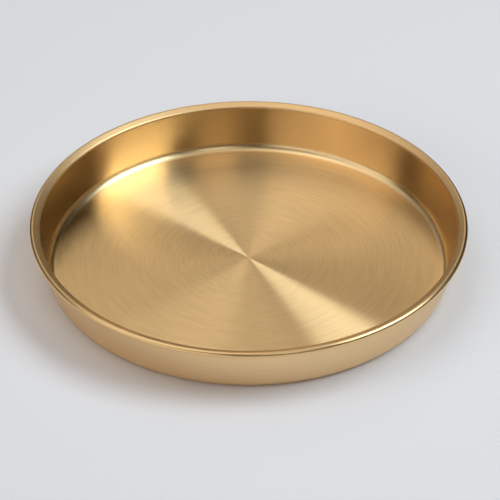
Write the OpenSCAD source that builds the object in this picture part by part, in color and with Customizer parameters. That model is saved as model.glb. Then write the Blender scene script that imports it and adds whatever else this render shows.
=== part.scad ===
// Thali plate: a round serving plate drawn from one sheet of brass, with a flat floor,
// a low flared wall and a lip that is turned out and rolled round a stiffening wire.
// Millimetres, +Z up, origin at the centre of the underside.

/* [Plate] */
// Diameter over the rolled rim
overall_d = 280; // [200:1:360]
// Height from the underside to the top of the rim
overall_h = 34.2; // [24:0.2:60]

/* [Sheet] */
// Thickness of the brass sheet
sheet_t = 0.8; // [0.5:0.05:1.2]
// Inside radius of the corner between floor and wall
corner_r = 5.5; // [2:0.5:10]
// Lean of the wall outwards from upright, in degrees
wall_flare = 8; // [2:0.5:20]

/* [Rim] */
// Rise of the lip above level, in degrees
lip_slope = 24; // [10:1:45]
// Straight run of the lip between the fold and the rolled bead
lip_run = 3.1; // [1:0.1:5]
// Radius of the sheet's upper face where the wall folds out into the lip
fold_r = 1.8; // [1.6:0.1:4]
// Turn of the sheet round the wire, from the end of the lip to the cut edge, in degrees
bead_wrap = 285; // [220:5:300]

/* [Wire] */
// Diameter of the stiffening wire in the rim
wire_d = 2; // [1.6:0.1:4]
// Gap left between the wire and the sheet rolled round it
wire_clear = 0.05; // [0.02:0.01:0.2]

/* [Hidden] */
$fn = 180;

// Turns of the sheet at each bend, in degrees, from the flat floor out to the bead
corner_turn = 90 - wall_flare;
fold_turn = corner_turn - lip_slope;

// Directions square to the wall's and the lip's upper faces, in the profile's plane
wall_normal = [-cos(wall_flare), sin(wall_flare)];
lip_normal = [-sin(lip_slope), cos(lip_slope)];

// The bead: the wire's centre lies one bead radius inside the plate's outline
bead_r = wire_d / 2 + wire_clear + sheet_t;
bead_c = [overall_d / 2 - bead_r, overall_h - bead_r];

// The lip runs inwards and down from the bead to the fold, which ends at the top of the wall
lip_foot_c = bead_c - lip_run * [cos(lip_slope), sin(lip_slope)];
fold_c = lip_foot_c + (bead_r - fold_r) * lip_normal;
wall_top = fold_c + fold_r * wall_normal;

// The wall drops to the corner, and the corner sets the radius of the flat floor
wall_foot_z = sheet_t + corner_r * (1 - sin(wall_flare));
wall_len = (wall_top.y - wall_foot_z) / cos(wall_flare);
floor_r = wall_top.x - wall_len * sin(wall_flare) - corner_r * cos(wall_flare);

// A straight stretch of the sheet along X, with its upper face at sheet_t, and what follows it
module straight(length) {
  square([length, sheet_t]);
  translate([length, 0])
    children();
}

// The half plane on one side of a line through a bend's pivot, set at an angle to upright:
// side is -1 for what lies behind the line and 1 for what lies past it
module half_plane(angle, side, reach) {
  rotate(angle)
    translate([side > 0 ? 0 : -reach, -reach])
      square([reach, 2 * reach]);
}

// A bend in the sheet, to the left where turn is positive, and what follows it.
// upper_r is the radius of the sheet's upper face. Past half a turn, only the gap is cut away.
module bend(turn, upper_r) {
  pivot = [0, sheet_t + sign(turn) * upper_r];
  inner_r = turn > 0 ? upper_r : upper_r - sheet_t;
  reach = 2 * (inner_r + sheet_t);
  translate(pivot) {
    difference() {
      circle(inner_r + sheet_t);
      circle(inner_r);
      if (abs(turn) > 180) {
        intersection() {
          half_plane(0, -1, reach);
          half_plane(turn, 1, reach);
        }
      } else {
        half_plane(0, -1, reach);
        half_plane(turn, 1, reach);
      }
    }
    rotate(turn)
      translate(-pivot)
        children();
  }
}

// Half section of the sheet, from the middle of the floor to the cut edge under the lip
module sheet_profile() {
  straight(floor_r)
    bend(corner_turn, corner_r)
      straight(wall_len)
        bend(-fold_turn, fold_r)
          straight(lip_run)
            bend(-bead_wrap, bead_r);
}

// The dish: floor, corner, wall, lip and rolled bead, all one drawn sheet
module dish() {
  color([0.76, 0.61, 0.38])
    rotate_extrude()
      sheet_profile();
}

// The rim wire: a ring of round wire that the sheet's edge is rolled over
module rim_wire() {
  color([0.62, 0.62, 0.64])
    rotate_extrude()
      translate(bead_c)
        circle(d = wire_d);
}

dish();
rim_wire();
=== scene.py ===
from math import ceil, cos, e, pi, radians, sin

import bpy
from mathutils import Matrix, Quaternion, Vector


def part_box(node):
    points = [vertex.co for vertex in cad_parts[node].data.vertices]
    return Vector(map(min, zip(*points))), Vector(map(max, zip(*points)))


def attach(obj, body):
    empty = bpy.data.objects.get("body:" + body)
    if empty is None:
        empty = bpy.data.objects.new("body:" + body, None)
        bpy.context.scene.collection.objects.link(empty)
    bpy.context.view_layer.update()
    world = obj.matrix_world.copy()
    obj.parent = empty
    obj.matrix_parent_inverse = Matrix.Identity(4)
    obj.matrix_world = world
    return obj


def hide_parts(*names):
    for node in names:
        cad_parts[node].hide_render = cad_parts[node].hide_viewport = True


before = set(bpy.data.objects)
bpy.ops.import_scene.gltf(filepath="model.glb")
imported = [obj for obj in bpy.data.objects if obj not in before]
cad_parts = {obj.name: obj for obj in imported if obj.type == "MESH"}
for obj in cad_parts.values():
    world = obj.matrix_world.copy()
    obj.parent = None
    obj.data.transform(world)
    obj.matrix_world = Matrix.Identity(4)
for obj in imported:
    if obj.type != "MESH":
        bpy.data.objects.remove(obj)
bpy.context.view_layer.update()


# The dish
# One disc of brass sheet, drawn in a press into a flat floor, a rounded corner and a low flared
# wall. Its edge is turned out into a sloping lip and rolled under, round a wire.
dish_low, dish_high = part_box("dish")
rim_radius = (dish_high[0] - dish_low[0]) / 2
rim_top = 0.0342
sheet_thickness = 0.0008
corner_radius = 0.0055
wall_flare = radians(8)
lip_slope = radians(24)
lip_run = 0.0031
fold_radius = 0.0018
bead_radius = 0.00185
bead_wrap = radians(285)

# The floor's radius and the wall's length follow from the outline, as they do in the pressing tool.
bead_centre = Vector((rim_radius - bead_radius, rim_top - bead_radius))
lip_way = Vector((cos(lip_slope), sin(lip_slope)))
lip_normal = Vector((-sin(lip_slope), cos(lip_slope)))
wall_normal = Vector((-cos(wall_flare), sin(wall_flare)))
fold_centre = bead_centre - lip_run * lip_way + (bead_radius - fold_radius) * lip_normal
wall_top = fold_centre + fold_radius * wall_normal
wall_foot_height = sheet_thickness + corner_radius * (1 - sin(wall_flare))
wall_length = (wall_top.y - wall_foot_height) / cos(wall_flare)
floor_radius = wall_top.x - wall_length * sin(wall_flare) - corner_radius * cos(wall_flare)

# The upper face's outline, ring by ring: each straight keeps a ring close to both its ends, so that
# it shades flat, and each bend has a ring every few degrees.
edge_margin = 0.0003
bend_step = radians(5)
outline = [Vector((floor_radius - edge_margin, sheet_thickness))]
heading = 0.0


def follow_straight(length):
    """Carries the outline straight on."""
    start = outline[-1].copy()
    way = Vector((cos(heading), sin(heading)))
    for distance in (edge_margin, length / 2, length - edge_margin, length):
        outline.append(start + distance * way)


def follow_bend(turn, radius):
    """Carries the outline round an arc, to the left where turn is positive and else to the right."""
    global heading
    side = 1 if turn > 0 else -1
    pivot = outline[-1] + side * radius * Vector((-sin(heading), cos(heading)))
    steps = ceil(abs(turn) / bend_step)
    for step in range(1, steps + 1):
        angle = heading + turn * step / steps
        outline.append(pivot - side * radius * Vector((-sin(angle), cos(angle))))
    heading += turn


outline.append(Vector((floor_radius, sheet_thickness)))
follow_bend(pi / 2 - wall_flare, corner_radius)
follow_straight(wall_length)
follow_bend(-(pi / 2 - wall_flare - lip_slope), fold_radius)
follow_straight(lip_run)
follow_bend(-bead_wrap, bead_radius)

# The floor is a disc, its edge is drawn out along the outline, and the sheet thickens below.
points_around = 384
sharpest_smooth_edge = radians(40)
bpy.ops.object.select_all(action="DESELECT")
bpy.ops.mesh.primitive_circle_add(vertices=points_around, radius=outline[0].x, fill_type="TRIFAN",
                                  location=(0, 0, outline[0].y))
dish = bpy.context.object
dish.name = "dish_sheet"
bpy.ops.object.transform_apply(location=True, rotation=True, scale=True)
bpy.ops.object.mode_set(mode="EDIT")
bpy.ops.mesh.select_all(action="SELECT")
bpy.ops.mesh.region_to_loop()
for inner, outer in zip(outline, outline[1:]):
    bpy.ops.mesh.extrude_edges_move(TRANSFORM_OT_translate={"value": (0, 0, outer.y - inner.y)})
    growth = outer.x / inner.x
    bpy.ops.transform.resize(value=(growth, growth, 1), center_override=(0, 0, 0))
bpy.ops.mesh.select_all(action="SELECT")
bpy.ops.mesh.normals_make_consistent(inside=False)
bpy.ops.object.mode_set(mode="OBJECT")
if dish.data.polygons[0].normal.z < 0:
    bpy.ops.object.mode_set(mode="EDIT")
    bpy.ops.mesh.flip_normals()
    bpy.ops.object.mode_set(mode="OBJECT")
thickness = dish.modifiers.new("sheet thickness", "SOLIDIFY")
thickness.thickness = sheet_thickness
thickness.offset = -1
thickness.use_even_offset = True
thickness.use_rim = True
bpy.ops.object.modifier_apply(modifier=thickness.name)
bpy.ops.object.shade_smooth_by_angle(angle=sharpest_smooth_edge)

# Fine lines left by brushing and buffing the sheet while it turns on a spindle. The lines run in
# circles about the plate's axis, so they vary fast across the sheet and slowly round it.
lines = bpy.data.node_groups.new("spindle_lines", "ShaderNodeTree")
lines.interface.new_socket("Lines per metre", in_out="INPUT", socket_type="NodeSocketFloat")
lines.interface.new_socket("Arc", in_out="INPUT", socket_type="NodeSocketFloat")
lines.interface.new_socket("Lines", in_out="OUTPUT", socket_type="NodeSocketFloat")
lines_in = lines.nodes.new("NodeGroupInput")
lines_out = lines.nodes.new("NodeGroupOutput")
lines_place = lines.nodes.new("ShaderNodeTexCoord")
lines_split = lines.nodes.new("ShaderNodeSeparateXYZ")
lines.links.new(lines_place.outputs["Object"], lines_split.inputs[0])
lines_flat = lines.nodes.new("ShaderNodeCombineXYZ")
lines.links.new(lines_split.outputs["X"], lines_flat.inputs["X"])
lines.links.new(lines_split.outputs["Y"], lines_flat.inputs["Y"])
lines_radius = lines.nodes.new("ShaderNodeVectorMath")
lines_radius.operation = "LENGTH"
lines.links.new(lines_flat.outputs[0], lines_radius.inputs[0])
lines_round = lines.nodes.new("ShaderNodeVectorMath")
lines_round.operation = "NORMALIZE"
lines.links.new(lines_flat.outputs[0], lines_round.inputs[0])
lines_arc = lines.nodes.new("ShaderNodeVectorMath")
lines_arc.operation = "SCALE"
lines.links.new(lines_round.outputs[0], lines_arc.inputs[0])
lines.links.new(lines_in.outputs["Arc"], lines_arc.inputs["Scale"])
lines_across = lines.nodes.new("ShaderNodeMath")
lines_across.operation = "ADD"
lines.links.new(lines_radius.outputs["Value"], lines_across.inputs[0])
lines.links.new(lines_split.outputs["Z"], lines_across.inputs[1])
lines_count = lines.nodes.new("ShaderNodeMath")
lines_count.operation = "MULTIPLY"
lines.links.new(lines_across.outputs[0], lines_count.inputs[0])
lines.links.new(lines_in.outputs["Lines per metre"], lines_count.inputs[1])
lines_up = lines.nodes.new("ShaderNodeCombineXYZ")
lines.links.new(lines_count.outputs[0], lines_up.inputs["Z"])
lines_sum = lines.nodes.new("ShaderNodeVectorMath")
lines_sum.operation = "ADD"
lines.links.new(lines_arc.outputs[0], lines_sum.inputs[0])
lines.links.new(lines_up.outputs[0], lines_sum.inputs[1])
lines_noise = lines.nodes.new("ShaderNodeTexNoise")
lines_noise.inputs["Scale"].default_value = 1
lines_noise.inputs["Detail"].default_value = 3
lines.links.new(lines_sum.outputs[0], lines_noise.inputs["Vector"])
lines.links.new(lines_noise.outputs["Fac"], lines_out.inputs["Lines"])

# The sides of the finest lines, each too narrow to see: every one tilts the surface, in towards the
# plate's axis or out from it, mostly by little and seldom by much, so that a lamp is drawn out into a
# long streak across the lines. The rarest and steepest sides are left out at both ends.
grooves_per_metre = 15000
rarest_sides = 0.005
grooves = bpy.data.node_groups.new("spindle_grooves", "ShaderNodeTree")
grooves.interface.new_socket("Steepness", in_out="INPUT", socket_type="NodeSocketFloat")
grooves.interface.new_socket("Normal", in_out="OUTPUT", socket_type="NodeSocketVector")
grooves_in = grooves.nodes.new("NodeGroupInput")
grooves_out = grooves.nodes.new("NodeGroupOutput")
grooves_place = grooves.nodes.new("ShaderNodeTexCoord")
grooves_face = grooves.nodes.new("ShaderNodeNewGeometry")
grooves_split = grooves.nodes.new("ShaderNodeSeparateXYZ")
grooves.links.new(grooves_place.outputs["Object"], grooves_split.inputs[0])
grooves_flat = grooves.nodes.new("ShaderNodeCombineXYZ")
grooves.links.new(grooves_split.outputs["X"], grooves_flat.inputs["X"])
grooves.links.new(grooves_split.outputs["Y"], grooves_flat.inputs["Y"])
grooves_radius = grooves.nodes.new("ShaderNodeVectorMath")
grooves_radius.operation = "LENGTH"
grooves.links.new(grooves_flat.outputs[0], grooves_radius.inputs[0])
grooves_along = grooves.nodes.new("ShaderNodeMath")
grooves_along.operation = "ADD"
grooves.links.new(grooves_radius.outputs["Value"], grooves_along.inputs[0])
grooves.links.new(grooves_split.outputs["Z"], grooves_along.inputs[1])
grooves_count = grooves.nodes.new("ShaderNodeMath")
grooves_count.operation = "MULTIPLY"
grooves_count.inputs[1].default_value = grooves_per_metre
grooves.links.new(grooves_along.outputs[0], grooves_count.inputs[0])
grooves_wave = grooves.nodes.new("ShaderNodeMath")
grooves_wave.operation = "PINGPONG"
grooves_wave.inputs[1].default_value = 1
grooves.links.new(grooves_count.outputs[0], grooves_wave.inputs[0])
grooves_share = grooves.nodes.new("ShaderNodeMapRange")
grooves_share.inputs["To Min"].default_value = rarest_sides
grooves_share.inputs["To Max"].default_value = 1 - rarest_sides
grooves.links.new(grooves_wave.outputs[0], grooves_share.inputs["Value"])
grooves_rest = grooves.nodes.new("ShaderNodeMath")
grooves_rest.operation = "SUBTRACT"
grooves_rest.inputs[0].default_value = 1
grooves.links.new(grooves_share.outputs["Result"], grooves_rest.inputs[1])
grooves_odds = grooves.nodes.new("ShaderNodeMath")
grooves_odds.operation = "DIVIDE"
grooves.links.new(grooves_share.outputs["Result"], grooves_odds.inputs[0])
grooves.links.new(grooves_rest.outputs[0], grooves_odds.inputs[1])
grooves_bell = grooves.nodes.new("ShaderNodeMath")
grooves_bell.operation = "LOGARITHM"
grooves_bell.inputs[1].default_value = e
grooves.links.new(grooves_odds.outputs[0], grooves_bell.inputs[0])
grooves_slope = grooves.nodes.new("ShaderNodeMath")
grooves_slope.operation = "MULTIPLY"
grooves.links.new(grooves_bell.outputs[0], grooves_slope.inputs[0])
grooves.links.new(grooves_in.outputs["Steepness"], grooves_slope.inputs[1])
grooves_round = grooves.nodes.new("ShaderNodeVectorMath")
grooves_round.operation = "CROSS_PRODUCT"
grooves_round.inputs[0].default_value = (0, 0, 1)
grooves.links.new(grooves_place.outputs["Object"], grooves_round.inputs[1])
grooves_across = grooves.nodes.new("ShaderNodeVectorMath")
grooves_across.operation = "CROSS_PRODUCT"
grooves.links.new(grooves_round.outputs[0], grooves_across.inputs[0])
grooves.links.new(grooves_face.outputs["Normal"], grooves_across.inputs[1])
grooves_way = grooves.nodes.new("ShaderNodeVectorMath")
grooves_way.operation = "NORMALIZE"
grooves.links.new(grooves_across.outputs[0], grooves_way.inputs[0])
grooves_tilt = grooves.nodes.new("ShaderNodeVectorMath")
grooves_tilt.operation = "SCALE"
grooves.links.new(grooves_way.outputs[0], grooves_tilt.inputs[0])
grooves.links.new(grooves_slope.outputs[0], grooves_tilt.inputs["Scale"])
grooves_sum = grooves.nodes.new("ShaderNodeVectorMath")
grooves_sum.operation = "ADD"
grooves.links.new(grooves_face.outputs["Normal"], grooves_sum.inputs[0])
grooves.links.new(grooves_tilt.outputs[0], grooves_sum.inputs[1])
grooves_unit = grooves.nodes.new("ShaderNodeVectorMath")
grooves_unit.operation = "NORMALIZE"
grooves.links.new(grooves_sum.outputs[0], grooves_unit.inputs[0])
grooves.links.new(grooves_unit.outputs[0], grooves_out.inputs["Normal"])

# The lines that show are about a millimetre apart, and run between faint and strong. A quarter of a turn
# draws the gloss out across them, instead of along them.
shown_lines_per_metre = 1000
shown_lines_arc = 3
faint_line = 0.3
strong_line = 0.7
across_lines = 0.25


def brass_finish(name, colour, shade, roughness, spread, anisotropy, steepness):
    """Brass with circular lines, which change its colour by a shade and its roughness by a spread. Their
    steepness tilts the surface, and anisotropy draws the gloss out across them."""
    finish = bpy.data.materials.new(name)
    finish.use_nodes = True
    nodes = finish.node_tree.nodes
    links = finish.node_tree.links
    brass = nodes["Principled BSDF"]
    brass.inputs["Metallic"].default_value = 1
    brass.inputs["Anisotropic"].default_value = anisotropy
    brass.inputs["Anisotropic Rotation"].default_value = across_lines
    broad = nodes.new("ShaderNodeGroup")
    broad.node_tree = lines
    broad.inputs["Lines per metre"].default_value = shown_lines_per_metre
    broad.inputs["Arc"].default_value = shown_lines_arc
    gloss = nodes.new("ShaderNodeMapRange")
    gloss.inputs["From Min"].default_value = faint_line
    gloss.inputs["From Max"].default_value = strong_line
    gloss.inputs["To Min"].default_value = roughness - spread
    gloss.inputs["To Max"].default_value = roughness + spread
    links.new(broad.outputs["Lines"], gloss.inputs["Value"])
    links.new(gloss.outputs["Result"], brass.inputs["Roughness"])
    stroke = nodes.new("ShaderNodeMapRange")
    stroke.inputs["From Min"].default_value = faint_line
    stroke.inputs["From Max"].default_value = strong_line
    links.new(broad.outputs["Lines"], stroke.inputs["Value"])
    tint = nodes.new("ShaderNodeMix")
    tint.data_type = "RGBA"
    tint.inputs["A"].default_value = tuple((1 - shade) * part for part in colour) + (1,)
    tint.inputs["B"].default_value = tuple((1 + shade) * part for part in colour) + (1,)
    links.new(stroke.outputs["Result"], tint.inputs["Factor"])
    links.new(tint.outputs["Result"], brass.inputs["Base Color"])
    sides = nodes.new("ShaderNodeGroup")
    sides.node_tree = grooves
    sides.inputs["Steepness"].default_value = steepness
    links.new(sides.outputs["Normal"], brass.inputs["Normal"])
    place = nodes.new("ShaderNodeTexCoord")
    round_way = nodes.new("ShaderNodeVectorMath")
    round_way.operation = "CROSS_PRODUCT"
    round_way.inputs[0].default_value = (0, 0, 1)
    links.new(place.outputs["Object"], round_way.inputs[1])
    links.new(round_way.outputs[0], brass.inputs["Tangent"])
    return finish


# All six are the same brass, so the small differences in their colours are painted light, set zone by
# zone to how each looks as lit: paler on the wall, corner and outside, and a deeper gold on the floor,
# rim and bead.
floor_finish = brass_finish("brushed_floor", colour=(0.87, 0.59, 0.285), shade=0.07, roughness=0.28,
                            spread=0.004, anisotropy=1, steepness=0.139)
wall_finish = brass_finish("brushed_wall", colour=(0.86, 0.635, 0.355), shade=0.04, roughness=0.15,
                           spread=0.01, anisotropy=1, steepness=0.05)
corner_finish = brass_finish("brushed_corner", colour=(0.87, 0.62, 0.32), shade=0.03, roughness=0.28,
                             spread=0.01, anisotropy=0.7, steepness=0.05)
rim_finish = brass_finish("satin_rim", colour=(0.9, 0.58, 0.27), shade=0.03, roughness=0.42,
                          spread=0.01, anisotropy=0.2, steepness=0.03)
bead_finish = brass_finish("burnished_bead", colour=(0.88, 0.58, 0.27), shade=0.02, roughness=0.28,
                           spread=0.004, anisotropy=0.3, steepness=0.02)
outside_finish = brass_finish("satin_outside", colour=(0.9, 0.65, 0.36), shade=0.03, roughness=0.3,
                              spread=0.01, anisotropy=0.6, steepness=0.03)

# Each face takes its finish from its height and from the way that it faces.
finishes = [floor_finish, wall_finish, corner_finish, rim_finish, outside_finish, bead_finish]
for finish in finishes:
    dish.data.materials.append(finish)
fold_margin = 0.0002
rim_foot = wall_top.y - fold_margin
bead_lean_out = 0.2
floor_lean_up = 0.97
for face in dish.data.polygons:
    outward = Vector((face.center.x, face.center.y, 0)).normalized()
    inside = face.normal.z - face.normal.dot(outward) > 0
    if face.center.z > rim_foot and face.normal.dot(outward) > bead_lean_out:
        finish = bead_finish
    elif face.center.z > rim_foot:
        finish = rim_finish
    elif not inside:
        finish = outside_finish
    elif face.normal.z > floor_lean_up:
        finish = floor_finish
    elif face.center.z < wall_foot_height:
        finish = corner_finish
    else:
        finish = wall_finish
    face.material_index = finishes.index(finish)
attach(dish, "root")
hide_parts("dish")


# The rim wire
# A ring of drawn steel wire inside the rolled edge, put in before the edge is closed over it.
wire_dark = (0.42, 0.42, 0.43, 1)
wire_pale = (0.56, 0.56, 0.57, 1)
wire_marks_per_metre = 400
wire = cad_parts["rim_wire"]
wire_finish = bpy.data.materials.new("drawn_wire")
wire_finish.use_nodes = True
wire_nodes = wire_finish.node_tree.nodes
wire_links = wire_finish.node_tree.links
steel = wire_nodes["Principled BSDF"]
steel.inputs["Metallic"].default_value = 1
steel.inputs["Roughness"].default_value = 0.35
wire_place = wire_nodes.new("ShaderNodeTexCoord")
drawn = wire_nodes.new("ShaderNodeTexNoise")
drawn.inputs["Scale"].default_value = wire_marks_per_metre
wire_links.new(wire_place.outputs["Object"], drawn.inputs["Vector"])
steel_tint = wire_nodes.new("ShaderNodeMix")
steel_tint.data_type = "RGBA"
steel_tint.inputs["A"].default_value = wire_dark
steel_tint.inputs["B"].default_value = wire_pale
wire_links.new(drawn.outputs["Fac"], steel_tint.inputs["Factor"])
wire_links.new(steel_tint.outputs["Result"], steel.inputs["Base Color"])
wire.data.materials.clear()
wire.data.materials.append(wire_finish)


# The studio
# A plain pale table under one large softbox at the right and a few soft pale patches of the room. The
# plate's reflections, and not the camera, see the table shade off to dark at the right.
table_size = 8
table_gap = 0.0002
table_colour = (0.935, 0.892, 0.874, 1)
dark_colour = (0.05, 0.05, 0.05, 1)
dark_start = 0.21
dark_whole = 0.27
bpy.ops.object.select_all(action="DESELECT")
bpy.ops.mesh.primitive_plane_add(size=table_size, location=(0, 0, -table_gap))
table = bpy.context.object
table.name = "table"
table_finish = bpy.data.materials.new("pale_table")
table_finish.use_nodes = True
table_nodes = table_finish.node_tree.nodes
table_links = table_finish.node_tree.links
table_paint = table_nodes["Principled BSDF"]
table_paint.inputs["Roughness"].default_value = 0.7
table_paint.inputs["Specular IOR Level"].default_value = 0.2
table_place = table_nodes.new("ShaderNodeTexCoord")
table_split = table_nodes.new("ShaderNodeSeparateXYZ")
table_links.new(table_place.outputs["Object"], table_split.inputs[0])
table_end = table_nodes.new("ShaderNodeMapRange")
table_end.interpolation_type = "SMOOTHSTEP"
table_end.inputs["From Min"].default_value = dark_start
table_end.inputs["From Max"].default_value = dark_whole
table_links.new(table_split.outputs["X"], table_end.inputs["Value"])
table_tint = table_nodes.new("ShaderNodeMix")
table_tint.data_type = "RGBA"
table_tint.inputs["A"].default_value = table_colour
table_tint.inputs["B"].default_value = dark_colour
table_ray = table_nodes.new("ShaderNodeLightPath")
table_hidden = table_nodes.new("ShaderNodeMath")
table_hidden.operation = "SUBTRACT"
table_hidden.use_clamp = True
table_links.new(table_end.outputs["Result"], table_hidden.inputs[0])
table_links.new(table_ray.outputs["Is Camera Ray"], table_hidden.inputs[1])
table_links.new(table_hidden.outputs[0], table_tint.inputs["Factor"])
table_links.new(table_tint.outputs["Result"], table_paint.inputs["Base Color"])
table.data.materials.append(table_finish)

world = bpy.context.scene.world or bpy.data.worlds.new("studio")
bpy.context.scene.world = world
world.use_nodes = True
room = world.node_tree.nodes
room_links = world.node_tree.links
room_way = room.new("ShaderNodeTexCoord")
room_dim = 0.01
room_sum = None


def direction(azimuth, elevation):
    """The way from the plate to a place in the room, in degrees round from its right and up."""
    level = cos(radians(elevation))
    return Vector((level * cos(radians(azimuth)), level * sin(radians(azimuth)), sin(radians(elevation))))


def room_glow(azimuth, elevation, full, faded, brightness, colour):
    """A soft pale patch of the room, whole within one angle of its middle and gone at another."""
    global room_sum
    near = room.new("ShaderNodeVectorMath")
    near.operation = "DOT_PRODUCT"
    near.inputs[1].default_value = direction(azimuth, elevation)
    room_links.new(room_way.outputs["Generated"], near.inputs[0])
    fade = room.new("ShaderNodeMapRange")
    fade.interpolation_type = "SMOOTHSTEP"
    fade.inputs["From Min"].default_value = cos(radians(faded))
    fade.inputs["From Max"].default_value = cos(radians(full))
    fade.inputs["To Min"].default_value = 0
    fade.inputs["To Max"].default_value = brightness
    room_links.new(near.outputs["Value"], fade.inputs["Value"])
    patch = room.new("ShaderNodeVectorMath")
    patch.operation = "SCALE"
    patch.inputs[0].default_value = colour
    room_links.new(fade.outputs["Result"], patch.inputs["Scale"])
    total = room.new("ShaderNodeVectorMath")
    total.operation = "ADD"
    total.inputs[0].default_value = (room_dim, room_dim, room_dim)
    if room_sum:
        room_links.new(room_sum, total.inputs[0])
    room_links.new(patch.outputs[0], total.inputs[1])
    room_sum = total.outputs[0]


neutral = (1, 1, 1)
warm = (1.03, 0.98, 0.88)
cool = (0.88, 1.03, 1.16)
for azimuth in (-115, -140, -165):
    room_glow(azimuth, elevation=22, full=5, faded=19, brightness=1.25, colour=neutral)
room_glow(azimuth=135, elevation=58, full=15, faded=42, brightness=0.32, colour=neutral)
room_glow(azimuth=92, elevation=22, full=2, faded=14, brightness=0.2, colour=neutral)
room_glow(azimuth=92, elevation=36, full=2, faded=14, brightness=1.33, colour=warm)
room_glow(azimuth=-68, elevation=48, full=2, faded=14, brightness=1.7, colour=neutral)
room_glow(azimuth=0, elevation=90, full=10, faded=30, brightness=0.65, colour=neutral)
room_glow(azimuth=180, elevation=62, full=8, faded=30, brightness=0.9, colour=neutral)
room_links.new(room_sum, room["Background"].inputs["Color"])
room["Background"].inputs["Strength"].default_value = 1


def softbox(name, place, aim, roll, width, height, brightness, colour):
    """A rectangular area light at a place, that faces an aim point and is turned about that line."""
    away = Vector(place) - Vector(aim)
    lamp = bpy.data.lights.new(name, "AREA")
    lamp.shape = "RECTANGLE"
    lamp.size = width
    lamp.size_y = height
    lamp.energy = pi * width * height * brightness
    lamp.color = colour
    holder = bpy.data.objects.new(name, lamp)
    holder.location = place
    turn = away.to_track_quat("Z", "Y") @ Quaternion((0, 0, 1), radians(roll))
    holder.rotation_euler = turn.to_euler()
    bpy.context.collection.objects.link(holder)


softbox("key", place=(1.3, 0.184, 2.084), aim=(0, 0.184, 2.084), roll=-38, width=1.32, height=2.37,
        brightness=4.9, colour=cool)


# The camera
# It stands in front of the plate and looks down at it, aimed so that the middle of the plate's
# underside falls on its own pixel of the picture.
image_size = 500
focal_pixels = 1893
camera_distance = 1.232
camera_elevation = radians(36.57)
plate_centre_pixel = (248.7, 258.6)
sensor_width = 36
lens = bpy.data.cameras.new("camera")
lens.sensor_width = sensor_width
lens.lens = focal_pixels / image_size * sensor_width
camera = bpy.data.objects.new("camera", lens)
bpy.context.collection.objects.link(camera)
camera.location = camera_distance * Vector((0, -cos(camera_elevation), sin(camera_elevation)))
pixel = camera_distance / focal_pixels
across = (image_size / 2 - plate_centre_pixel[0]) * pixel
upward = (plate_centre_pixel[1] - image_size / 2) * pixel
aim = Vector((across, upward * sin(camera_elevation), upward * cos(camera_elevation)))
camera.rotation_euler = (aim - camera.location).to_track_quat("-Z", "Y").to_euler()
bpy.context.scene.camera = camera
bpy.context.scene.view_settings.view_transform = "Standard"
